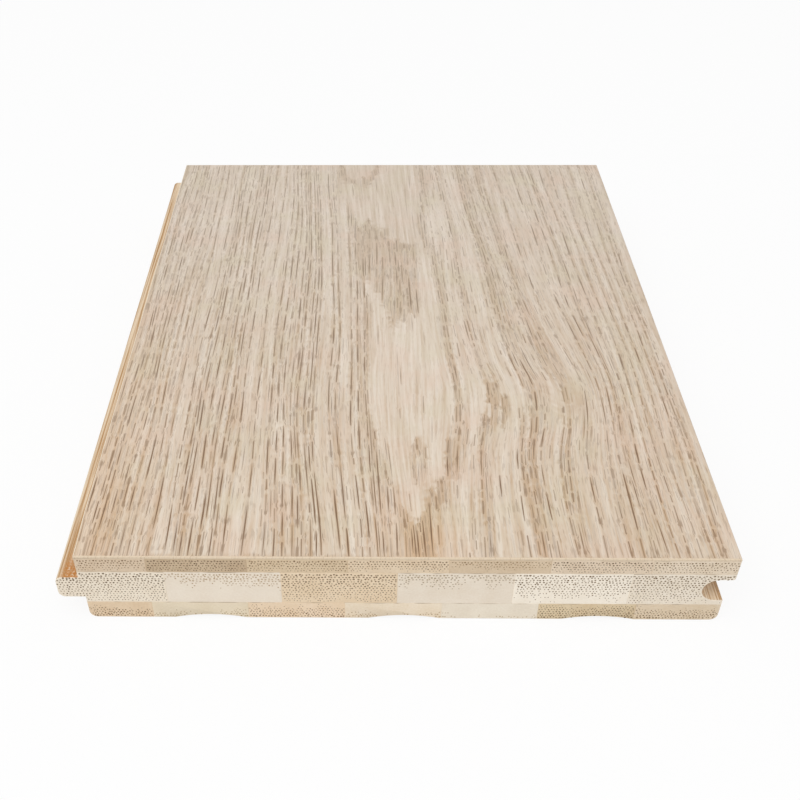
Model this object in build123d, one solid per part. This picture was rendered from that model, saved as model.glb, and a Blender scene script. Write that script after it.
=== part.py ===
"""Tongue-and-groove bamboo floorboard: three plies of glued slats under a thin face veneer.

Millimetres. The length runs along Y, the tongue is on -X and the groove on +X.
The underside lies on Z = 0, and the origin is under the middle of the board, tongue included.
"""
import os

from build123d import *

# Overall sizes of the board
board_length = 140.0
face_width = 110.0

# Thickness of each layer, from the face down
veneer_thickness = 0.5
top_ply_thickness = 3.3
core_ply_thickness = 7.7
bottom_ply_thickness = 4.0

# Slats of each ply: whole slats between two cut edge slats, with their joints off the ply's middle
top_whole_slats = 5
top_slat_width = 16.8
top_joint_shift = -1.2
core_whole_slats = 4
core_slat_width = 19.6
core_joint_shift = -1.3
bottom_whole_slats = 5
bottom_slat_width = 16.6
bottom_joint_shift = -1.65

# Tongue along one edge
tongue_reach = 4.0
tongue_thickness = 4.9
tongue_above_core_underside = 1.3
tongue_nose_radius = 1.2

# Groove along the other edge, made to take the next board's tongue
groove_side_clearance = 0.1
groove_end_clearance = 1.0
upper_lip_radius = 0.4

# The lower edges stand back, so that two boards close at the face
lower_lip_back = 1.0
tongue_edge_back = 0.5
lower_corner_radius = 1.4

# Shallow relief grooves along the underside
relief_count = 3
relief_pitch = 33.5
relief_width = 12.4
relief_depth = 0.8

# Levels, from the underside up
core_underside = bottom_ply_thickness
core_top = core_underside + core_ply_thickness
top_ply_top = core_top + top_ply_thickness
tongue_underside = core_underside + tongue_above_core_underside
tongue_top = tongue_underside + tongue_thickness
groove_floor = tongue_underside - groove_side_clearance
groove_roof = tongue_top + groove_side_clearance

# Places across the width, with the tongue and the face centred together
tongue_tip = -(face_width + tongue_reach) / 2
tongue_edge = tongue_tip + tongue_reach
groove_edge = tongue_edge + face_width
lower_tongue_edge = tongue_edge + tongue_edge_back
lower_groove_edge = groove_edge - lower_lip_back
face_middle = (tongue_edge + groove_edge) / 2
groove_radius = (groove_roof - groove_floor) / 2
groove_middle = (groove_roof + groove_floor) / 2
groove_round_middle = groove_edge - tongue_reach - groove_end_clearance + groove_radius

section_plane = Plane.XZ.offset(-board_length / 2)


def rectangle(left, right, low, high):
    """Flat rectangle in the board's cross section."""
    middle = Pos((left + right) / 2, (low + high) / 2)
    return middle * Rectangle(right - left, high - low)


def nearest_corner(sketch, across, level):
    """Corner of a section that lies nearest to a place."""
    return sketch.vertices().sort_by_distance(Vector(across, level, 0))[0]


def relief_groove(across):
    """Round-bottomed channel in the underside, as a circle that dips into the section."""
    radius = (relief_width**2 / 4 + relief_depth**2) / (2 * relief_depth)
    return Pos(across, relief_depth - radius) * Circle(radius)


def moulded_section():
    """Cross section of the glued slats after the edges and the underside were moulded."""
    outline = Polyline(
        (tongue_edge, top_ply_top),
        (groove_edge, top_ply_top),
        (groove_edge, groove_floor),
        (lower_groove_edge, groove_floor),
        (lower_groove_edge, 0),
        (lower_tongue_edge, 0),
        (lower_tongue_edge, tongue_underside),
        (tongue_tip, tongue_underside),
        (tongue_tip, tongue_top),
        (tongue_edge, tongue_top),
        close=True,
    )
    section = make_face(outline)
    groove_round = Pos(groove_round_middle, groove_middle) * Circle(groove_radius)
    groove_mouth = rectangle(groove_round_middle, groove_edge + groove_radius, groove_floor, groove_roof)
    section = section - groove_round - groove_mouth
    for number in range(relief_count):
        section -= relief_groove(face_middle + (number - (relief_count - 1) / 2) * relief_pitch)
    rounded_corners = (
        (tongue_tip, tongue_top, tongue_nose_radius),
        (tongue_tip, tongue_underside, tongue_nose_radius),
        (groove_edge, groove_roof, upper_lip_radius),
        (lower_groove_edge, 0, lower_corner_radius),
        (lower_tongue_edge, 0, lower_corner_radius),
    )
    for across, level, radius in rounded_corners:
        section = fillet(nearest_corner(section, across, level), radius)
    return section


def slat_joints(left, right, whole_slats, slat_width, joint_shift):
    """Places of a ply's joints, from the tongue side to the groove side."""
    first_joint = (left + right - whole_slats * slat_width) / 2 + joint_shift
    return [first_joint + number * slat_width for number in range(whole_slats + 1)]


def save(name, section):
    """Run a cross section along the whole board and write it as one piece."""
    piece = extrude(section_plane * section, amount=board_length)
    piece.label = name
    export_step(piece, os.path.join("parts", name + ".step"))


os.makedirs("parts", exist_ok=True)
board_section = moulded_section()

top_joints = slat_joints(tongue_edge, groove_edge, top_whole_slats, top_slat_width, top_joint_shift)
core_joints = slat_joints(tongue_edge, groove_edge, core_whole_slats, core_slat_width, core_joint_shift)
bottom_joints = slat_joints(
    lower_tongue_edge, lower_groove_edge, bottom_whole_slats, bottom_slat_width, bottom_joint_shift
)
plies = (
    ("top", top_joints, core_top, top_ply_top),
    ("core", core_joints, core_underside, core_top),
    ("bottom", bottom_joints, 0, core_underside),
)
for ply, joints, low, high in plies:
    slat_edges = zip([tongue_tip] + joints, joints + [groove_edge])
    for number, (left, right) in enumerate(slat_edges, start=1):
        save(f"{ply}_slat_{number}", board_section & rectangle(left, right, low, high))

save("face_veneer", rectangle(tongue_edge, groove_edge, top_ply_top, top_ply_top + veneer_thickness))
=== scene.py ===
"""Looks of a short length of tongue-and-groove bamboo flooring with a brushed oak face.

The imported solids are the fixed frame, in metres: length along Y, tongue on -X, face up.
"""
import math

import bmesh
import bpy
import numpy as np
from mathutils import Matrix, Vector
from mathutils.geometry import delaunay_2d_cdt


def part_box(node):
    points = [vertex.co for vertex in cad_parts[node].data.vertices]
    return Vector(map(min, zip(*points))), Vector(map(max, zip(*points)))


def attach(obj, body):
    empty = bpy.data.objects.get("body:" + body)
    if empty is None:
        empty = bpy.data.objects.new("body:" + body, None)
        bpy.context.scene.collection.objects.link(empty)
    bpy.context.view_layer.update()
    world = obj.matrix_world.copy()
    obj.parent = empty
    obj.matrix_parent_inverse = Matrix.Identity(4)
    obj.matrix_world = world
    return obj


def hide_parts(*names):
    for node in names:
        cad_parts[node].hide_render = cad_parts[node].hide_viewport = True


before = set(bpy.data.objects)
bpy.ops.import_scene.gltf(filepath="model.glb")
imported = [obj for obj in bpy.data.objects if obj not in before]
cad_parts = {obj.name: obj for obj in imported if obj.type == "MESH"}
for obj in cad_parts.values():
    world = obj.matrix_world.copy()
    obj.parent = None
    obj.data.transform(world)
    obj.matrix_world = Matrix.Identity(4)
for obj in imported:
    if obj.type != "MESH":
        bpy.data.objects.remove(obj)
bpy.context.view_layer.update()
scene = bpy.context.scene


# Bamboo slats of the three plies
# Flat strips split from the culm wall, planed, glued edge to edge and ply on ply, moulded and sawn off with
# the board. The sawn ends show the fibre bundles as dark dots, crowded towards the culm's skin, and along
# the grain the same bundles run as brown streaks.
MM = 0.001
CORNERS = ((-1, -1), (1, -1), (1, 1), (-1, 1))
FIBRE_IOR = 1.45
SAWN_ARRIS = 0.06 * MM
FACET_ANGLE = math.radians(1)
SHARP_ANGLE = math.radians(35)
SMOOTH_ANGLE = math.radians(30)
LONG_GRAIN = "#E3CBAA"
LONG_STREAK = "#AE8350"
# glue, and the painted shade in the tongue's inner corner: where they begin and where they are full, in mm
# from the ply's face, from the sawn end and from the tongue's tip
GLUE = "#8C7350"
GLUE_IN = (0.12, 0.04)
ROOT_SHADE = "#BB7C38"
ROOT_SHADE_ALONG = (6.5, 2.0)
ROOT_SHADE_ACROSS = (0.7, 1.7)
# bundles: radius, distance between rows and stray off the row, as shares of the distance between two bundles
BUNDLE_SIDES = 6
BUNDLE_RADIUS = 0.43
ROW_STEP = 0.88
BUNDLE_STRAY = 0.22


def linear(hex_colour):
    """sRGB hex colour as the linear values that a shader works with."""
    srgb = [int(hex_colour[i:i + 2], 16) / 255 for i in (1, 3, 5)]
    return tuple(c / 12.92 if c <= 0.04045 else ((c + 0.055) / 1.055) ** 2.4 for c in srgb) + (1.0,)


def add(tree, kind, inputs, **settings):
    """Adds a node, sets it up, and links or sets its inputs by name or number.

    A Mix node has its colours in inputs 6 and 7, and a Map Range node its limits in inputs 1 to 4.
    """
    made = tree.nodes.new(kind)
    for name, value in settings.items():
        setattr(made, name, value)
    for key, value in inputs.items():
        if isinstance(value, bpy.types.NodeSocket):
            tree.links.new(value, made.inputs[key])
        else:
            made.inputs[key].default_value = value
    return made


def new_material(name, roughness):
    """Material of plant fibre, with its Principled shader on the output."""
    material = bpy.data.materials.new(name)
    material.use_nodes = True
    shader = material.node_tree.nodes["Principled BSDF"]
    shader.inputs["Roughness"].default_value = roughness
    shader.inputs["IOR"].default_value = FIBRE_IOR
    return material, material.node_tree, shader


def place_in_mm(tree):
    """Place on the board in millimetres."""
    place = add(tree, "ShaderNodeTexCoord", {}).outputs["Object"]
    return add(tree, "ShaderNodeVectorMath", {0: place, "Scale": 1 / MM}, operation="SCALE").outputs[0]


def facing_end(tree, low, high):
    """How far a surface is turned along the board, as a sawn end is: 0 up to low, and 1 from high."""
    normal = add(tree, "ShaderNodeNewGeometry", {}).outputs["Normal"]
    turned = add(tree, "ShaderNodeSeparateXYZ", {0: normal}).outputs["Y"]
    turned = add(tree, "ShaderNodeMath", {0: turned}, operation="ABSOLUTE").outputs[0]
    return add(tree, "ShaderNodeMapRange", {"Value": turned, 1: low, 2: high}).outputs[0]


def sawn_bamboo(name, low, high, pale, tan, root_shade_strength, seed):
    """Planed and sawn bamboo, matt and dry: clouded cream to tan on the end, streaked along the grain."""
    material, tree, shader = new_material(name, 0.65)
    in_mm = place_in_mm(tree)
    axis = add(tree, "ShaderNodeSeparateXYZ", {0: in_mm}).outputs
    own = add(tree, "ShaderNodeVectorMath", {0: in_mm, 1: (seed * 17.0, seed * 5.0, seed * 11.0)}).outputs[0]
    # sawn end: clouds about 3 mm wide and a fibre speckle of 0.4 mm
    cloud = add(tree, "ShaderNodeTexNoise", {"Vector": own, "Scale": 0.3, "Detail": 3.0}).outputs["Fac"]
    speckle = add(tree, "ShaderNodeTexNoise", {"Vector": own, "Scale": 2.6, "Detail": 1.0}).outputs["Fac"]
    clouded = add(tree, "ShaderNodeMix", {2: cloud, 3: speckle, 0: 0.45}).outputs[0]
    shade = add(tree, "ShaderNodeMapRange", {"Value": clouded, 1: 0.34, 2: 0.66}).outputs[0]
    end_grain = add(tree, "ShaderNodeMix", {
        0: shade, 6: linear(pale), 7: linear(tan),
    }, data_type="RGBA").outputs[2]
    # along the grain: streaks 0.4 mm wide and about 30 mm long, on a ground with some of the slat's own tan
    along = add(tree, "ShaderNodeMapping", {"Vector": own, "Scale": (2.6, 0.03, 2.6)}).outputs[0]
    fibre = add(tree, "ShaderNodeTexNoise", {
        "Vector": along, "Scale": 1.0, "Detail": 3.0, "Roughness": 0.65,
    }).outputs["Fac"]
    streak = add(tree, "ShaderNodeMapRange", {"Value": fibre, 1: 0.42, 2: 0.62}).outputs[0]
    planed = tuple(0.6 * g + 0.4 * t for g, t in zip(linear(LONG_GRAIN), linear(tan)))
    long_grain = add(tree, "ShaderNodeMix", {
        0: streak, 6: planed, 7: linear(LONG_STREAK),
    }, data_type="RGBA").outputs[2]
    # painted shade: the tongue's inner corner by the sawn end is painted a deeper orange, the shade that
    # lies there on the bare bamboo
    root_shade = add(tree, "ShaderNodeMapRange", {
        "Value": axis["Y"], 1: low.y / MM + ROOT_SHADE_ALONG[0], 2: low.y / MM + ROOT_SHADE_ALONG[1],
        3: 0.0, 4: root_shade_strength,
    }).outputs[0]
    inner = add(tree, "ShaderNodeMapRange", {
        "Value": axis["X"], 1: low.x / MM + ROOT_SHADE_ACROSS[0], 2: low.x / MM + ROOT_SHADE_ACROSS[1],
    }).outputs[0]
    blotch = add(tree, "ShaderNodeMapRange", {"Value": speckle, 1: 0.25, 2: 0.6}).outputs[0]
    for limit in (inner, blotch):
        root_shade = add(tree, "ShaderNodeMath", {0: root_shade, 1: limit}, operation="MULTIPLY").outputs[0]
    long_grain = add(tree, "ShaderNodeMix", {
        0: root_shade, 6: long_grain, 7: linear(ROOT_SHADE),
    }, data_type="RGBA").outputs[2]
    sawn = facing_end(tree, 0.3, 0.6)
    body = add(tree, "ShaderNodeMix", {0: sawn, 6: long_grain, 7: end_grain}, data_type="RGBA").outputs[2]
    # glue squeezed out between the plies darkens the edge here and there
    middle = (low.z + high.z) / 2 / MM
    half = (high.z - low.z) / 2 / MM
    off = add(tree, "ShaderNodeMath", {0: axis["Z"], 1: middle}, operation="SUBTRACT").outputs[0]
    off = add(tree, "ShaderNodeMath", {0: off}, operation="ABSOLUTE").outputs[0]
    edge = add(tree, "ShaderNodeMapRange", {
        "Value": off, 1: half - GLUE_IN[0], 2: half - GLUE_IN[1],
    }).outputs[0]
    broken = add(tree, "ShaderNodeTexNoise", {"Vector": own, "Scale": 0.25, "Detail": 2.0}).outputs["Fac"]
    broken = add(tree, "ShaderNodeMapRange", {"Value": broken, 1: 0.48, 2: 0.62, 3: 0.0, 4: 0.65}).outputs[0]
    glue = add(tree, "ShaderNodeMath", {0: edge, 1: broken}, operation="MULTIPLY").outputs[0]
    colour = add(tree, "ShaderNodeMix", {0: glue, 6: body, 7: linear(GLUE)}, data_type="RGBA").outputs[2]
    tree.links.new(colour, shader.inputs["Base Color"])
    rough = add(tree, "ShaderNodeBump", {"Strength": 0.3, "Distance": 0.04 * MM, "Height": fibre}).outputs[0]
    tree.links.new(rough, shader.inputs["Normal"])
    return material


def bundle_fibre(name, dark, faint):
    """Cut end of a fibre bundle: dense and brown, some much fainter than others."""
    material, tree, shader = new_material(name, 0.7)
    place = add(tree, "ShaderNodeTexCoord", {}).outputs["Object"]
    vary = add(tree, "ShaderNodeTexNoise", {
        "Vector": place, "Scale": 0.9 / MM, "Detail": 0.0,
    }).outputs["Fac"]
    shade = add(tree, "ShaderNodeMapRange", {"Value": vary, 1: 0.35, 2: 0.7, 3: 0.0, 4: 0.4}).outputs[0]
    colour = add(tree, "ShaderNodeMix", {
        0: shade, 6: linear(dark), 7: linear(faint),
    }, data_type="RGBA").outputs[2]
    tree.links.new(colour, shader.inputs["Base Color"])
    return material


def bundle_ends_tree():
    """Geometry Nodes: low cones for the cut bundles, in staggered rows over both sawn ends of a slat."""
    tree = bpy.data.node_groups.new("bundle_ends", "GeometryNodeTree")
    kinds = (
        ("Slat", "Geometry"), ("Middle", "Vector"), ("Size", "Vector"), ("Pitch", "Float"),
        ("Radius", "Float"), ("Skin Side", "Float"), ("Reach", "Float"), ("Seed", "Int"),
        ("Bundle", "Material"),
    )
    for name, kind in kinds:
        tree.interface.new_socket(name, in_out="INPUT", socket_type="NodeSocket" + kind)
    tree.interface.new_socket("Slat", in_out="OUTPUT", socket_type="NodeSocketGeometry")
    given = add(tree, "NodeGroupInput", {}).outputs
    size = add(tree, "ShaderNodeSeparateXYZ", {0: given["Size"]}).outputs
    middle = add(tree, "ShaderNodeSeparateXYZ", {0: given["Middle"]}).outputs
    columns = add(tree, "ShaderNodeMath", {0: size["X"], 1: given["Pitch"]}, operation="DIVIDE").outputs[0]
    row_step = add(tree, "ShaderNodeMath", {0: given["Pitch"], 1: ROW_STEP}, operation="MULTIPLY").outputs[0]
    rows = add(tree, "ShaderNodeMath", {0: size["Z"], 1: row_step}, operation="DIVIDE").outputs[0]
    sheet = add(tree, "GeometryNodeMeshGrid", {
        "Size X": size["X"], "Size Y": size["Z"], "Vertices X": columns, "Vertices Y": rows,
    }).outputs["Mesh"]
    place = add(tree, "GeometryNodeInputPosition", {}).outputs[0]
    across = add(tree, "ShaderNodeSeparateXYZ", {0: place}).outputs
    row = add(tree, "ShaderNodeMath", {0: across["Y"], 1: row_step}, operation="DIVIDE").outputs[0]
    row = add(tree, "ShaderNodeMath", {0: row}, operation="ROUND").outputs[0]
    odd = add(tree, "ShaderNodeMath", {0: row, 1: 2.0}, operation="FLOORED_MODULO").outputs[0]
    stagger = add(tree, "ShaderNodeMath", {0: odd, 1: 0.5}, operation="MULTIPLY").outputs[0]
    join = add(tree, "GeometryNodeJoinGeometry", {})
    for end in (-1, 1):
        seed = add(tree, "ShaderNodeMath", {0: given["Seed"], 1: 50.0 * end}).outputs[0]
        stray = add(tree, "FunctionNodeRandomValue", {
            0: (-BUNDLE_STRAY,) * 3, 1: (BUNDLE_STRAY,) * 3, "Seed": seed,
        }, data_type="FLOAT_VECTOR").outputs[0]
        stray = add(tree, "ShaderNodeSeparateXYZ", {0: stray}).outputs
        aside = add(tree, "ShaderNodeMath", {0: stagger, 1: stray["X"]}).outputs[0]
        x = add(tree, "ShaderNodeMath", {
            0: aside, 1: given["Pitch"], 2: across["X"],
        }, operation="MULTIPLY_ADD").outputs[0]
        x = add(tree, "ShaderNodeMath", {0: x, 1: middle["X"]}).outputs[0]
        y = add(tree, "ShaderNodeMath", {0: size["Y"], 1: 0.5 * end}, operation="MULTIPLY").outputs[0]
        z = add(tree, "ShaderNodeMath", {
            0: stray["Z"], 1: given["Pitch"], 2: across["Y"],
        }, operation="MULTIPLY_ADD").outputs[0]
        z = add(tree, "ShaderNodeMath", {0: z, 1: middle["Z"]}).outputs[0]
        spot = add(tree, "ShaderNodeCombineXYZ", {0: x, 1: y, 2: z}).outputs[0]
        dots = add(tree, "GeometryNodeSetPosition", {"Geometry": sheet, "Position": spot}).outputs[0]
        # bundles thin out away from the culm's skin, in patches
        level = add(tree, "ShaderNodeSeparateXYZ", {0: place}).outputs["Z"]
        level = add(tree, "ShaderNodeMath", {0: level, 1: middle["Z"]}, operation="SUBTRACT").outputs[0]
        level = add(tree, "ShaderNodeMath", {0: level, 1: size["Z"]}, operation="DIVIDE").outputs[0]
        depth = add(tree, "ShaderNodeMath", {
            0: level, 1: given["Skin Side"], 2: 0.5,
        }, operation="MULTIPLY_ADD").outputs[0]
        patch = add(tree, "ShaderNodeTexNoise", {
            "Vector": place, "Scale": 0.2 / MM, "Detail": 1.0,
        }).outputs[0]
        patchy = add(tree, "ShaderNodeMath", {
            0: patch, 1: 0.9, 2: -0.45,
        }, operation="MULTIPLY_ADD").outputs[0]
        reached = add(tree, "ShaderNodeMath", {0: depth, 1: given["Reach"]}).outputs[0]
        reached = add(tree, "ShaderNodeMath", {0: reached, 1: patchy}).outputs[0]
        share = add(tree, "ShaderNodeMapRange", {0: reached, 1: 0.8, 2: 1.1}).outputs[0]
        draw = add(tree, "FunctionNodeRandomValue", {2: 0.0, 3: 1.0, "Seed": seed}).outputs[1]
        kept = add(tree, "FunctionNodeCompare", {0: draw, 1: share}, operation="LESS_THAN").outputs[0]
        # a dot that would hang over the slat's outline is dropped: rays from 1 mm outside, at its four
        # corners, all have to meet the slat
        before = add(tree, "ShaderNodeVectorMath", {0: place, 1: (0, end * MM, 0)}).outputs[0]
        for right, up in CORNERS:
            corner = add(tree, "ShaderNodeVectorMath", {
                0: (0.65 * right, 0, 0.65 * up), "Scale": given["Radius"],
            }, operation="SCALE").outputs[0]
            start = add(tree, "ShaderNodeVectorMath", {0: before, 1: corner}).outputs[0]
            met = add(tree, "GeometryNodeRaycast", {
                "Target Geometry": given["Slat"], "Source Position": start,
                "Ray Direction": (0, -end, 0), "Ray Length": 1.02 * MM,
            }).outputs["Is Hit"]
            kept = add(tree, "FunctionNodeBooleanMath", {0: kept, 1: met}).outputs[0]
        # a cone of radius 1, its foot sunk into the slat, grows to the bundle's own girth
        cone = add(tree, "GeometryNodeMeshCone", {
            "Vertices": BUNDLE_SIDES, "Radius Top": 0.0, "Radius Bottom": 1.0, "Depth": 0.3,
        }).outputs["Mesh"]
        cone = add(tree, "GeometryNodeTransform", {0: cone, "Translation": (0, 0, -0.1)}).outputs[0]
        large = add(tree, "FunctionNodeRandomValue", {2: 0.75, 3: 1.15, "Seed": seed}).outputs[1]
        grown = add(tree, "ShaderNodeMapRange", {0: depth, 3: 0.72, 4: 1.25}).outputs[0]
        girth = add(tree, "ShaderNodeMath", {0: large, 1: grown}, operation="MULTIPLY").outputs[0]
        girth = add(tree, "ShaderNodeMath", {0: girth, 1: given["Radius"]}, operation="MULTIPLY").outputs[0]
        cones = add(tree, "GeometryNodeInstanceOnPoints", {
            "Points": dots, "Selection": kept, "Instance": cone,
            "Rotation": (-end * math.pi / 2, 0, 0), "Scale": girth,
        }).outputs[0]
        cones = add(tree, "GeometryNodeRealizeInstances", {0: cones}).outputs[0]
        cones = add(tree, "GeometryNodeSetMaterial", {0: cones, "Material": given["Bundle"]}).outputs[0]
        tree.links.new(cones, join.inputs[0])
    tree.links.new(given["Slat"], join.inputs[0])
    add(tree, "NodeGroupOutput", {0: join.outputs[0]})
    return tree


bundle_ends = bundle_ends_tree()


def sawn_slat(node, material, bundle_inputs):
    """Copy of a slat with its edges eased as sawing and planing leave them, and the bundles on its ends."""
    mesh = bmesh.new()
    mesh.from_mesh(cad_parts[node].data)
    bmesh.ops.remove_doubles(mesh, verts=mesh.verts, dist=0.001 * MM)
    bmesh.ops.dissolve_limit(mesh, angle_limit=FACET_ANGLE, verts=mesh.verts, edges=mesh.edges)
    sharp = [e for e in mesh.edges if e.calc_face_angle(0) > SHARP_ANGLE]
    bmesh.ops.bevel(mesh, geom=sharp, offset=SAWN_ARRIS, segments=1, affect="EDGES", clamp_overlap=True)
    data = bpy.data.meshes.new(node + "_sawn")
    mesh.to_mesh(data)
    mesh.free()
    data.materials.append(material)
    slat = bpy.data.objects.new(node + "_sawn", data)
    scene.collection.objects.link(slat)
    scatter = slat.modifiers.new("bundle_ends", "NODES")
    scatter.node_group = bundle_ends
    for item in bundle_ends.interface.items_tree:
        if item.in_out == "INPUT" and item.name in bundle_inputs:
            scatter[item.identifier] = bundle_inputs[item.name]
    solid = slat.evaluated_get(bpy.context.evaluated_depsgraph_get())
    slat.data = bpy.data.meshes.new_from_object(solid)
    slat.modifiers.remove(scatter)
    slat.data.polygons.foreach_set("use_smooth", [True] * len(slat.data.polygons))
    slat.data.set_sharp_from_angle(angle=SMOOTH_ANGLE)
    return slat


# bundle pitch in mm and, for each slat from tongue to groove: pale ground, tan ground, bundle colour,
# side of the slat where the culm's skin was, and share of the slat that the bundles reach over
# the slat whose tongue has painted shade in its inner corner
ROOT_SHADE_SLAT = "core_slat_1"
PLIES = {
    "bottom": (0.5, [
        ("#E5CFB2", "#D9BF9E", "#684A28", -1, 0.55),
        ("#E9DCC5", "#DFD0B5", "#A58D66", -1, 0.30),
        ("#EDD8BE", "#E3CBAC", "#7A5A38", -1, 0.75),
        ("#EFE1CC", "#E4D2B7", "#A98C65", -1, 0.22),
        ("#ECE2D1", "#E3D7C4", "#B49E7D", -1, 0.12),
        ("#DFCDAD", "#D1BA96", "#5E4522", -1, 0.85),
        ("#E3D2BA", "#D5C0A2", "#684C2A", -1, 0.75),
    ]),
    "core": (0.55, [
        ("#F0E5D3", "#E9DBC6", "#5C4220", 1, 1.10),
        ("#EDE2D2", "#E6D9C7", "#AD9370", 1, 0.35),
        ("#EAD6BA", "#E0C9A9", "#6E5438", 1, 0.95),
        ("#EBE0D0", "#E3D5C2", "#A08D70", 1, 0.30),
        ("#F7EEDF", "#F0E5D4", "#69502F", 1, 0.75),
        ("#EFE4D4", "#E5D8C4", "#69502F", 1, 0.90),
    ]),
    "top": (0.5, [
        ("#DCC8AF", "#D0B99D", "#735433", 1, 0.85),
        ("#CDB799", "#BCA486", "#573D22", 1, 1.05),
        ("#DBC6A8", "#CCB594", "#6B4D2B", 1, 0.90),
        ("#E6D3B8", "#D9C2A4", "#6B4E2C", 1, 0.70),
        ("#DBC7AC", "#CDB698", "#8D7351", 1, 0.50),
        ("#E4D2BB", "#D5C0A6", "#5C4224", 1, 0.85),
        ("#E7D7C2", "#DBC9B0", "#6B4F2E", 1, 0.90),
    ]),
}
for ply, (pitch, slats) in PLIES.items():
    for number, (pale, tan, dark, skin, reach) in enumerate(slats, start=1):
        node = f"{ply}_slat_{number}"
        low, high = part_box(node)
        bamboo = sawn_bamboo("bamboo_" + node, low, high, pale, tan, float(node == ROOT_SHADE_SLAT), number)
        slat = sawn_slat(node, bamboo, {
            "Middle": (low + high) / 2, "Size": high - low,
            "Pitch": pitch * MM, "Radius": BUNDLE_RADIUS * pitch * MM,
            "Skin Side": float(skin), "Reach": reach, "Seed": number,
            "Bundle": bundle_fibre("bundles_" + node, dark, tan),
        })
        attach(slat, "root")
        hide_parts(node)


# Oak face
# A thin sheet of flat-sawn oak, glued over the slats, brushed so that its pores stand open, and oiled matt.
# The growth rings make a pale flame down the middle, and the pores are real grooves cut into the sheet.
veneer_low, veneer_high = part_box("face_veneer")
FACE_MIDDLE = (veneer_low.x + veneer_high.x) / 2 / MM
ARRIS = 0.16
HALF_WIDTH = (veneer_high.x - veneer_low.x) / 2 / MM - ARRIS
HALF_LENGTH = (veneer_high.y - veneer_low.y) / 2 / MM - ARRIS
TOUCHING = 0.005
# fibres and their pores, in mm
LANE_PITCH = 0.7
LANE_STRAY = 0.15
PORE_DEPTH = 0.10
PORE_WIDTH = (0.26, 0.4)
RING_PORE_WIDER = 0.12
LONGEST_PORE = 24
PORE_GAP = 0.3
PORES_END = HALF_LENGTH - 0.03
STRIDE = 0.4
TONE_PITCH = 1.8
# where the main ring edges run: places across the face in mm, at steps from the near end to the far end
STEPS = (-70, -62, -50, -38, -30, -26, -14, -2, 10, 22, 34, 46, 58, 70)
FLAME_LEFT = (2, 1.8, -2.5, -5.8, -6.6, -6.6, -6.2, -5.5, -7.2, -8.8, -8.8, -10.5, -13.8, -13.5)
FLAME_RIGHT = (2, 2.2, 7.2, 10, 10.7, 10.5, 9.2, 8.8, 9.2, 8.2, 6.2, 6.8, 7.2, 6.8)
# fibres follow these guides, each named by its place across the face at mid length
GUIDES = (
    (-55.0, (-55,) * 14),
    (-30.0, (-29.5, -29.6, -29.8, -30, -30.2, -30.2, -30.4, -30.3, -30, -29.8, -29.6, -29.5, -29.6, -29.8)),
    (-12.4, (-8.8, -9.6, -11, -12.2, -12.7, -12.7, -12.3, -12.4, -12.6, -13, -13.4, -14, -15.2, -16)),
    (2.0, (2.4, 2.3, 2, 1.8, 1.8, 1.8, 1.9, 2, 2, 2, 1.8, 1.6, 1.4, 1.2)),
    (14.2, (13.4, 13.5, 13.9, 15.0, 17.9, 16.9, 15.6, 14.8, 14.2, 14, 13.7, 12.6, 12, 11.5)),
    (20.6, (21.5, 21.4, 21.3, 22.4, 26.2, 24.6, 21.6, 21, 20.4, 19.7, 18.8, 17.8, 17.2, 17)),
    (26.4, (28.2, 28, 28, 29.2, 33.2, 31.4, 28.2, 26.8, 25.8, 25, 24, 23, 22.2, 21.5)),
    (33.0, (34.7, 34.5, 34.5, 35.5, 38, 37.7, 36, 33.6, 32, 31.2, 30.5, 29.5, 28.8, 28)),
    (47.0, (47.4, 47.3, 47.2, 47.2, 47.6, 47.6, 47.5, 47, 46.6, 46.3, 46, 45.8, 45.6, 45.5)),
    (55.0, (55,) * 14),
)
WIDE_RINGS = slice(4, 7)
WIDE_RINGS_FROM = 8
FINE_RINGS_FROM = 29.0
SHORT_PORES_FROM = 44
# round features of the figure: middle and half-widths in mm, across and along
FLAME_FOOT = ((2, -71), (9, 9))
FLAME_SPLIT = ((3, -47), (1.4, 6.5))
FLAME_EYE = ((-8.5, 70), (4.8, 10.5))
TIP_SHADE = ((2.3, -65), (4, 6))
KNOT = ((32.5, -28), (3.2, 4.5))
# the eye's outline keeps its shape, so fibres aren't feathered from here on
FEATHER_TO = 50


def soft_step(low, high, value):
    """0 below low, 1 above high, and smooth between."""
    t = np.clip((value - low) / (high - low), 0, 1)
    return t * t * (3 - 2 * t)


def off_middle(across, along, middle, half_widths):
    """Distance from the middle of a round feature, 1 on its outline."""
    return np.hypot((across - middle[0]) / half_widths[0], (along - middle[1]) / half_widths[1])


def ring_edge(places, along, smooth=1.0):
    """Place of a ring edge across the face, with the corners between its steps smoothed away."""
    return sum(np.interp(along + shift * smooth, STEPS, places) for shift in (-2, -1, 0, 1, 2)) / 5


def lane_place(lane, along):
    """Where a fibre that is named by its place at mid length runs at another place along the face."""
    after = next(k for k in range(1, len(GUIDES)) if lane <= GUIDES[k][0])
    (start, first), (end, second) = GUIDES[after - 1], GUIDES[after]
    share = (lane - start) / (end - start)
    wave = 0.22 * np.sin(along / 15 + lane * 0.31) + 0.12 * np.sin(along / 6.1 + lane * 0.77)
    return (1 - share) * ring_edge(first, along, 4) + share * ring_edge(second, along, 4) + wave


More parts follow.
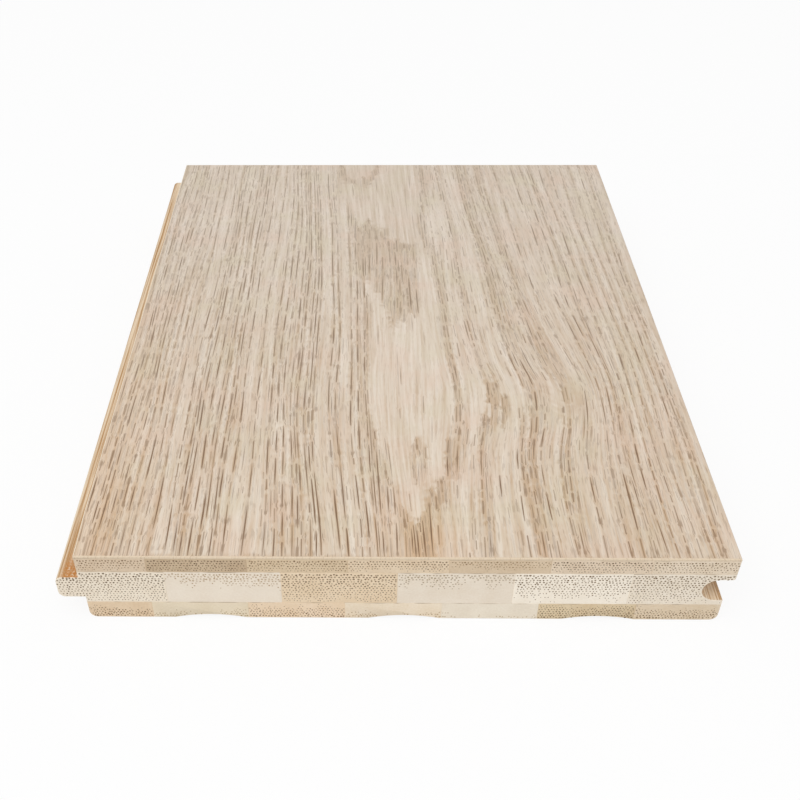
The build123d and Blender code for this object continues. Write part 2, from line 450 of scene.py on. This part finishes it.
def in_flame(across, along):
    """Pore cover, paleness and nearness to a ring edge inside the flame, with its dark patches and crown."""
    patch_far = 41 - 1.1 * (across + 9)
    patch_near = np.interp(across, (-7, -4, -2, 4), (13, 8, -1, -2))
    patch = soft_step(-1, 1, patch_far - along) * soft_step(-1, 1, along - patch_near)
    patch *= soft_step(-0.5, 0.5, 5.4 - across)
    foot = 1 - soft_step(0.9, 1.1, off_middle(across, along, *FLAME_FOOT))
    split = 1 - soft_step(0.8, 1.1, off_middle(across, along, *FLAME_SPLIT))
    eye = off_middle(across, along, *FLAME_EYE)
    rim = np.exp(-((eye - 1) / 0.16) ** 2) * (along > FEATHER_TO)
    brow = np.exp(-((patch_far - along - 0.5) / 1.6) ** 2) * soft_step(-1, 1, 6 - across)
    dark = max(0.72 * patch, 0.88 * foot, 0.85 * split, 0.9 * rim, 0.9 * brow)
    crown = soft_step(18, 30, along)
    return max(dark, 0.2), 0.72 - 0.2 * crown - 0.5 * dark, max(rim, brow)


def wood(lane, strong, across, along):
    """Share of a fibre taken up by open pores, paleness of the wood beside them, nearness to a ring edge."""
    left = ring_edge(FLAME_LEFT, along)
    right = ring_edge(FLAME_RIGHT, along)
    inside = soft_step(-0.6, 0.6, min(across - left, right - across))
    knot = 1 - soft_step(0.8, 1.2, off_middle(across, along, *KNOT))
    if across < (left + right) / 2:
        inner = soft_step(-50, -38, across)
        rim = math.exp(min(across - left, 0) / 1.3)
        ring_cover = max(0.82 + 0.08 * inner if strong else 0.6 - 0.25 * inner, 0.85 * rim)
        ring_pale = 0.66 - 0.25 * rim
    elif lane > FINE_RINGS_FROM:
        rim = 0.0
        ring_cover = (0.84 if strong else 0.42) * (1 - 0.5 * knot)
        ring_pale = 0.57 - 0.3 * knot
    else:
        # dense early wood follows each ring edge, and behind the lobe it widens into a dark pocket
        rings = [right] + [ring_edge(places, along) for _, places in GUIDES[WIDE_RINGS]]
        lobe = math.exp(-((along + 29) / 6) ** 2)
        closing = soft_step(34, 46, -along)
        reach = (2.6 + closing, 1.8 + 3.0 * lobe, 5.0, 9.0)
        bands = [1 - soft_step(0.5 * w, w, across - ring) for ring, w in zip(rings, reach) if across >= ring]
        band = bands[-1] if bands else 0.0
        pocket = (lobe if len(bands) == 2 else 0.36 * closing if len(bands) == 1 else 0.0) * band
        rim = 1 - soft_step(0.5, 1.3, across - rings[len(bands) - 1]) if bands else 1.0
        ring_cover = max(0.38 - 0.16 * lobe + 0.4 * band + 0.25 * pocket, 0.82 * rim) * (1 - 0.5 * knot)
        ring_pale = 0.68 + 0.1 * lobe - 0.26 * band - 0.5 * pocket - 0.35 * knot
    # the early wood closes in darkest round the flame's tip
    tip = math.exp(-off_middle(across, along, *TIP_SHADE) ** 2)
    ring_cover = max(ring_cover, 0.88 * tip)
    ring_pale -= 0.3 * tip
    outside = np.array((ring_cover, ring_pale, rim))
    return outside + (np.array(in_flame(across, along)) - outside) * inside


def usual_length(lane, strong):
    """Usual length of a pore: longest in the rings on the left, and shortest by the board's edges."""
    length = 4.0
    if strong and lane < WIDE_RINGS_FROM:
        length = 7.5
    elif strong and lane >= FINE_RINGS_FROM:
        length = 5.5
    return length * 0.65 if abs(lane) > SHORT_PORES_FROM else length


rng = np.random.default_rng(7)
lanes = np.arange(-HALF_WIDTH + 0.35, HALF_WIDTH - 0.3, LANE_PITCH)
lanes = lanes + rng.uniform(-LANE_STRAY, LANE_STRAY, len(lanes))
# every second fibre carries a ring's large pores, or every third one in the fine rings, with exceptions
strong = [(i % 3 if lane > FINE_RINGS_FROM else i % 2) == 0 for i, lane in enumerate(lanes)]
strong = [large != (rng.random() < 0.13) for large in strong]
# each fibre moves the figure along by a little, so that its edges across the grain are feathered
feather = rng.normal(0, 2.0, len(lanes))
points = []
edges = []
sunk = {}
tones = []
for i, lane in enumerate(lanes):
    along = -PORES_END
    filled = along
    while along < HALF_LENGTH - 1:
        place = float(lane_place(lane, along + 1))
        cover, pale, edge = wood(lane, strong[i], place, along + 1 + feather[i] * (along < FEATHER_TO))
        pale -= 0.3 * cover * strong[i]
        # between two pores the fibre keeps some of their brown
        if along - filled > 1.5:
            points.append((float(lane_place(lane, along - 0.7)), along - 0.7))
            tones.append((pale, cover, lane))
            filled = along
        usual = usual_length(lane, strong[i])
        at_end = along == -PORES_END
        if rng.random() > (cover if at_end else STRIDE * cover / (1 - cover) / usual):
            along += STRIDE
            continue
        length = min(rng.lognormal(math.log(usual) - 0.1, 0.45), LONGEST_PORE, PORES_END - along)
        # a pore stops where its kind of wood does
        while length > 2 and wood(lane, strong[i], float(lane_place(lane, along + length)),
                                  along + length + feather[i])[0] < 0.5 * cover:
            length *= 0.75
        stations = max(2, int(length / 3) + 1)
        share = np.linspace(0.02 if at_end else 0.1, 0.9, stations)
        fade = np.sin(np.pi * np.clip(share, 0.1, 1)) ** 0.4
        at = along + length * share
        line = lane_place(lane, at)
        beside = [abs(lane_place(lanes[j], at) - line).min() for j in (i - 1, i + 1) if 0 <= j < len(lanes)]
        large = max(strong[i], edge)
        width = min(rng.uniform(*PORE_WIDTH) + RING_PORE_WIDER * large, 0.85 * min(beside))
        dark = (rng.uniform(0.35, 0.7) + 0.3 * large) * (0.6 if cover < 0.3 else 1)
        # the groove is shaped like a boat: two tips, a rim on each side, and a sunk line between the rims
        tips = lane_place(lane, np.array((along, along + length)))
        first = len(points)
        points += [(tips[0], along), (tips[1], along + length)]
        for number, side in enumerate((-0.5, 0, 0.5)):
            start = first + 2 + number * stations
            chain = [first, *range(start, start + stations), first + 1]
            edges += zip(chain, chain[1:])
            points += [(x + side * width, v) for x, v in zip(line, at)]
            if side == 0:
                sunk.update((k, dark * f * rng.uniform(0.7, 1)) for k, f in zip(chain[1:-1], fade))
        tones += [(pale, cover, lane)] * (len(points) - first)
        along += length + PORE_GAP
        filled = along
# points between the fibres carry the tone of the wood
for i, lane in enumerate((lanes[1:] + lanes[:-1]) / 2):
    for along in np.arange(-HALF_LENGTH + rng.uniform(0.3, TONE_PITCH), HALF_LENGTH - 0.2, TONE_PITCH):
        place = float(lane_place(lane, along))
        points.append((place, float(along)))
        cover, pale, _ = wood(lane, strong[i], place, along + feather[i] * (along < FEATHER_TO))
        tones.append((pale, cover, lane))
first = len(points)
points += [(x * HALF_WIDTH, y * HALF_LENGTH) for x, y in CORNERS]
edges += [(first + k, first + (k + 1) % 4) for k in range(4)]
tones += [(0.5, 0.5, x * HALF_WIDTH) for x, _ in CORNERS]
flat, _, triangles, origin, _, _ = delaunay_2d_cdt([Vector(p) for p in points], edges, [], 0, 1e-5)
mesh = bmesh.new()
pore_layer = mesh.verts.layers.float.new("pore")
tone_layers = [mesh.verts.layers.float.new(name) for name in ("pale", "cover", "lane")]
for p, sources in zip(flat, origin):
    sink = max((sunk.get(k, 0.0) for k in sources), default=0.0)
    vert = mesh.verts.new(((FACE_MIDDLE + p.x) * MM, p.y * MM, veneer_high.z - PORE_DEPTH * MM * sink))
    vert[pore_layer] = sink
    for layer, value in zip(tone_layers, tones[sources[0]] if sources else (0.5, 0.5, p.x)):
        vert[layer] = value
mesh.verts.ensure_lookup_table()
for triangle in triangles:
    mesh.faces.new([mesh.verts[k] for k in triangle])
# the arris slopes down to the sheet's sides, and the sides go down to the glue
rim = [tuple(e.verts) for e in mesh.edges if e.is_boundary]
for level, spread in ((veneer_high.z - ARRIS * MM, ARRIS * MM), (veneer_low.z, 0.0)):
    lower = {}
    for vert in [v for pair in rim for v in pair]:
        if vert in lower:
            continue
        lower[vert] = mesh.verts.new(vert.co, vert)
        across = vert.co.x / MM - FACE_MIDDLE
        along = vert.co.y / MM
        if abs(across) > HALF_WIDTH - TOUCHING:
            lower[vert].co.x += math.copysign(spread, across)
        if abs(along) > HALF_LENGTH - TOUCHING:
            lower[vert].co.y += math.copysign(spread, along)
        lower[vert].co.z = level
    for first, second in rim:
        mesh.faces.new((first, second, lower[second], lower[first]))
    rim = [(lower[first], lower[second]) for first, second in rim]
mesh.faces.new(sorted(lower.values(), key=lambda v: math.atan2(v.co.y, v.co.x - FACE_MIDDLE * MM)))
bmesh.ops.recalc_face_normals(mesh, faces=mesh.faces)
data = bpy.data.meshes.new("oak_face")
mesh.to_mesh(data)
mesh.free()
oak_face = bpy.data.objects.new("oak_face", data)
scene.collection.objects.link(oak_face)

# brushed oak: pale dry wood with soft streaks along the fibres, open pores a shade browner, and warmer and
# cooler patches; the streaks follow each fibre's own place, so that they bend with the figure
# near end and far end; the far end's paler, greyer values carry a painted reflection
DULL_WOOD = ("#C4A98B", "#C6B49F")
CLEAN_WOOD = ("#E5D9C9", "#E2D5C7")
PORE_BROWN = ("#78593B", "#9A8875")
WARM_WOOD = "#DDB78F"
# pale of the tongue-side arris: wear and a painted highlight
ARRIS_WEAR_AND_HIGHLIGHT = "#EFE1CB"
SAWN_END = ("#DBC8AE", "#A98C6C")
oak, tree, shader = new_material("brushed_oak", 0.55)
in_mm = place_in_mm(tree)
axis = add(tree, "ShaderNodeSeparateXYZ", {0: in_mm}).outputs
pore, pale, dense, lane = (
    add(tree, "ShaderNodeAttribute", {}, attribute_name=name).outputs["Fac"]
    for name in ("pore", "pale", "cover", "lane")
)
flow = add(tree, "ShaderNodeCombineXYZ", {0: lane, 1: axis["Y"]}).outputs[0]
# soft streaks 1 mm wide and 25 mm long, and fine ones 0.4 mm wide and 10 mm long
wide = add(tree, "ShaderNodeMapping", {"Vector": flow, "Scale": (1.0, 0.04, 1.0)}).outputs[0]
wide = add(tree, "ShaderNodeTexNoise", {"Vector": wide, "Scale": 1.0, "Detail": 2.0}).outputs["Fac"]
fine = add(tree, "ShaderNodeMapping", {"Vector": flow, "Scale": (2.5, 0.1, 1.0)}).outputs[0]
fine = add(tree, "ShaderNodeTexNoise", {
    "Vector": fine, "Scale": 1.0, "Detail": 3.0, "Roughness": 0.6,
}).outputs["Fac"]
streaks = add(tree, "ShaderNodeMath", {0: wide, 1: fine}).outputs[0]
tone = add(tree, "ShaderNodeMath", {0: streaks, 1: 1.6, 2: pale}, operation="MULTIPLY_ADD").outputs[0]
tone = add(tree, "ShaderNodeMapRange", {"Value": tone, 1: 1.65, 2: 2.6}).outputs[0]
# wood and pores change colour from the near end to the far end: a little is the wood's own drift, and the
# rest is a painted reflection, the far end paler and greyer as a grazing view catches the white surroundings
far_drift_and_sheen = add(tree, "ShaderNodeMapRange", {"Value": axis["Y"], 1: -65.0, 2: 40.0}).outputs[0]
dull, clean, brown = (
    add(tree, "ShaderNodeMix", {
        0: far_drift_and_sheen, 6: linear(near_end), 7: linear(far_end),
    }, data_type="RGBA").outputs[2]
    for near_end, far_end in (DULL_WOOD, CLEAN_WOOD, PORE_BROWN)
)
ground = add(tree, "ShaderNodeMix", {0: tone, 6: dull, 7: clean}, data_type="RGBA").outputs[2]
# pinkish and greenish patches about 9 mm wide
patch = add(tree, "ShaderNodeTexNoise", {"Vector": in_mm, "Scale": 0.11, "Detail": 2.0}).outputs["Fac"]
for low, high, tint in ((0.52, 0.7, "#DDBFAC"), (0.48, 0.3, "#CFC6A8")):
    share = add(tree, "ShaderNodeMapRange", {"Value": patch, 1: low, 2: high, 3: 0.0, 4: 0.27}).outputs[0]
    ground = add(tree, "ShaderNodeMix", {0: share, 6: ground, 7: linear(tint)}, data_type="RGBA").outputs[2]
# the near left corner and the foot of the flame are warmer
near = add(tree, "ShaderNodeMapRange", {"Value": axis["Y"], 1: 20.0, 2: -60.0, 3: 0.0, 4: 0.3}).outputs[0]
left = add(tree, "ShaderNodeMapRange", {"Value": lane, 1: -42.0, 2: -53.0, 3: 0.15, 4: 1.0}).outputs[0]
below = add(tree, "ShaderNodeMath", {0: lane, 1: 2.0}, operation="SUBTRACT").outputs[0]
below = add(tree, "ShaderNodeMath", {0: below}, operation="ABSOLUTE").outputs[0]
below = add(tree, "ShaderNodeMapRange", {"Value": below, 1: 12.0, 2: 3.0}).outputs[0]
foot = add(tree, "ShaderNodeMapRange", {"Value": axis["Y"], 1: -54.0, 2: -66.0}).outputs[0]
below = add(tree, "ShaderNodeMath", {0: below, 1: foot}, operation="MULTIPLY").outputs[0]
left = add(tree, "ShaderNodeMath", {0: left, 1: below}, operation="MAXIMUM").outputs[0]
warm = add(tree, "ShaderNodeMath", {0: near, 1: left}, operation="MULTIPLY").outputs[0]
ground = add(tree, "ShaderNodeMix", {0: warm, 6: ground, 7: linear(WARM_WOOD)}, data_type="RGBA").outputs[2]
# small pores are only darker streaks and dashes 0.3 mm wide and 3 mm long
small = add(tree, "ShaderNodeMapRange", {"Value": fine, 1: 0.52, 2: 0.64}).outputs[0]
small = add(tree, "ShaderNodeMath", {0: small, 1: 0.65}, operation="MULTIPLY").outputs[0]
dash = add(tree, "ShaderNodeMapping", {
    "Vector": flow, "Location": (31.0, 7.0, 5.0), "Scale": (3.2, 0.3, 1.0),
}).outputs[0]
dash = add(tree, "ShaderNodeTexNoise", {"Vector": dash, "Scale": 1.0, "Detail": 1.0}).outputs["Fac"]
dash = add(tree, "ShaderNodeMapRange", {"Value": dash, 1: 0.56, 2: 0.66}).outputs[0]
small = add(tree, "ShaderNodeMath", {0: small, 1: dash}, operation="MAXIMUM").outputs[0]
dense = add(tree, "ShaderNodeMapRange", {"Value": dense, 1: 0.15, 2: 0.75, 3: 0.08, 4: 0.55}).outputs[0]
small = add(tree, "ShaderNodeMath", {0: small, 1: dense}, operation="MULTIPLY").outputs[0]
pore = add(tree, "ShaderNodeMapRange", {
    "Value": pore, 1: 0.03, 2: 0.62, 3: 0.0, 4: 0.95,
}, interpolation_type="SMOOTHSTEP").outputs[0]
pore = add(tree, "ShaderNodeMath", {0: pore, 1: small}, operation="MAXIMUM").outputs[0]
colour = add(tree, "ShaderNodeMix", {0: pore, 6: ground, 7: brown}, data_type="RGBA").outputs[2]
end = add(tree, "ShaderNodeMix", {
    0: small, 6: linear(SAWN_END[0]), 7: linear(SAWN_END[1]),
}, data_type="RGBA").outputs[2]
sawn = facing_end(tree, 0.5, 0.65)
colour = add(tree, "ShaderNodeMix", {0: sawn, 6: colour, 7: end}, data_type="RGBA").outputs[2]
# the arris along the tongue is painted pale: partly wear, and partly a painted highlight, the bright line
# that light leaves along that edge; it leans further over than the walls of the pores
normal = add(tree, "ShaderNodeNewGeometry", {}).outputs["Normal"]
leaning = add(tree, "ShaderNodeSeparateXYZ", {0: normal}).outputs["X"]
arris_wear_and_highlight = add(tree, "ShaderNodeMapRange", {"Value": leaning, 1: -0.66, 2: -0.7}).outputs[0]
colour = add(tree, "ShaderNodeMix", {0: arris_wear_and_highlight, 6: colour, 7: linear(ARRIS_WEAR_AND_HIGHLIGHT)}, data_type="RGBA").outputs[2]
tree.links.new(colour, shader.inputs["Base Color"])
bump = add(tree, "ShaderNodeBump", {"Strength": 0.3, "Distance": 0.04 * MM, "Height": fine}).outputs[0]
tree.links.new(bump, shader.inputs["Normal"])
data.materials.append(oak)
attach(oak_face, "root")
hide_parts("face_veneer")


# Studio
# A white paper floor under an even white sky, with one large soft lamp overhead, and the camera above the
# sawn end, looking along the board.
FLOOR_HALF = 3.0
FLOOR_LEVEL = -0.1 * MM
FLOOR_GLOW = 0.88


def seen_itself(tree):
    """1 for the rays that show the white surroundings themselves, and 0 for those that light the board."""
    ray = add(tree, "ShaderNodeLightPath", {}).outputs
    seen = ray["Is Camera Ray"]
    for other in ("Is Glossy Ray", "Is Transmission Ray"):
        seen = add(tree, "ShaderNodeMath", {0: seen, 1: ray[other]}, operation="MAXIMUM").outputs[0]
    return seen


floor_mesh = bpy.data.meshes.new("floor")
floor_corners = [(x * FLOOR_HALF, y * FLOOR_HALF, FLOOR_LEVEL) for x, y in CORNERS]
floor_mesh.from_pydata(floor_corners, [], [(0, 1, 2, 3)])
floor = bpy.data.objects.new("floor", floor_mesh)
scene.collection.objects.link(floor)
paper, tree, shader = new_material("white_paper", 1.0)
shader.inputs["Base Color"].default_value = linear("#F2F2F2")
part = add(tree, "ShaderNodeMath", {0: seen_itself(tree), 1: FLOOR_GLOW}, operation="MULTIPLY").outputs[0]
glow = add(tree, "ShaderNodeEmission", {"Color": (1, 1, 1, 1), "Strength": 1.0}).outputs[0]
mixed = add(tree, "ShaderNodeMixShader", {0: part, 1: shader.outputs[0], 2: glow}).outputs[0]
tree.links.new(mixed, tree.nodes["Material Output"].inputs["Surface"])
floor_mesh.materials.append(paper)

sky = bpy.data.worlds.new("white_sky")
sky.use_nodes = True
scene.world = sky
tree = sky.node_tree
level = add(tree, "ShaderNodeMapRange", {"Value": seen_itself(tree), 3: 0.6, 4: 1.0}).outputs[0]
background = tree.nodes["Background"]
background.inputs["Color"].default_value = (1, 1, 1, 1)
tree.links.new(level, background.inputs["Strength"])

lamp = bpy.data.lights.new("overhead_softbox", "AREA")
lamp.shape = "RECTANGLE"
lamp.size = 0.9
lamp.size_y = 0.7
lamp.energy = 4.0
softbox = bpy.data.objects.new("overhead_softbox", lamp)
softbox.location = (-0.15, -0.35, 0.75)
softbox.rotation_euler = (-softbox.location).to_track_quat("-Z", "Y").to_euler()
scene.collection.objects.link(softbox)

# the camera's lens, turn in degrees and place in mm, fitted to the board's corners in an 800-pixel image
IMAGE_WIDTH = 800
FOCAL_PIXELS = 1036.1
SHIFT_PIXELS = 48.1
CAMERA_TURN = ((0.932, "Z"), (50.501, "X"), (-0.446, "Z"))
CAMERA_PLACE = (-4.843, -184.797, 143.698)
view = bpy.data.cameras.new("camera")
view.sensor_width = 36.0
view.lens = FOCAL_PIXELS / IMAGE_WIDTH * view.sensor_width
view.shift_x = SHIFT_PIXELS / IMAGE_WIDTH
view.clip_start = 0.01
camera = bpy.data.objects.new("camera", view)
turn = Matrix.Identity(4)
for degrees, about in CAMERA_TURN:
    turn = turn @ Matrix.Rotation(math.radians(degrees), 4, about)
camera.matrix_world = Matrix.Translation([c * MM for c in CAMERA_PLACE]) @ turn
scene.collection.objects.link(camera)
scene.camera = camera
scene.view_settings.view_transform = "Standard"
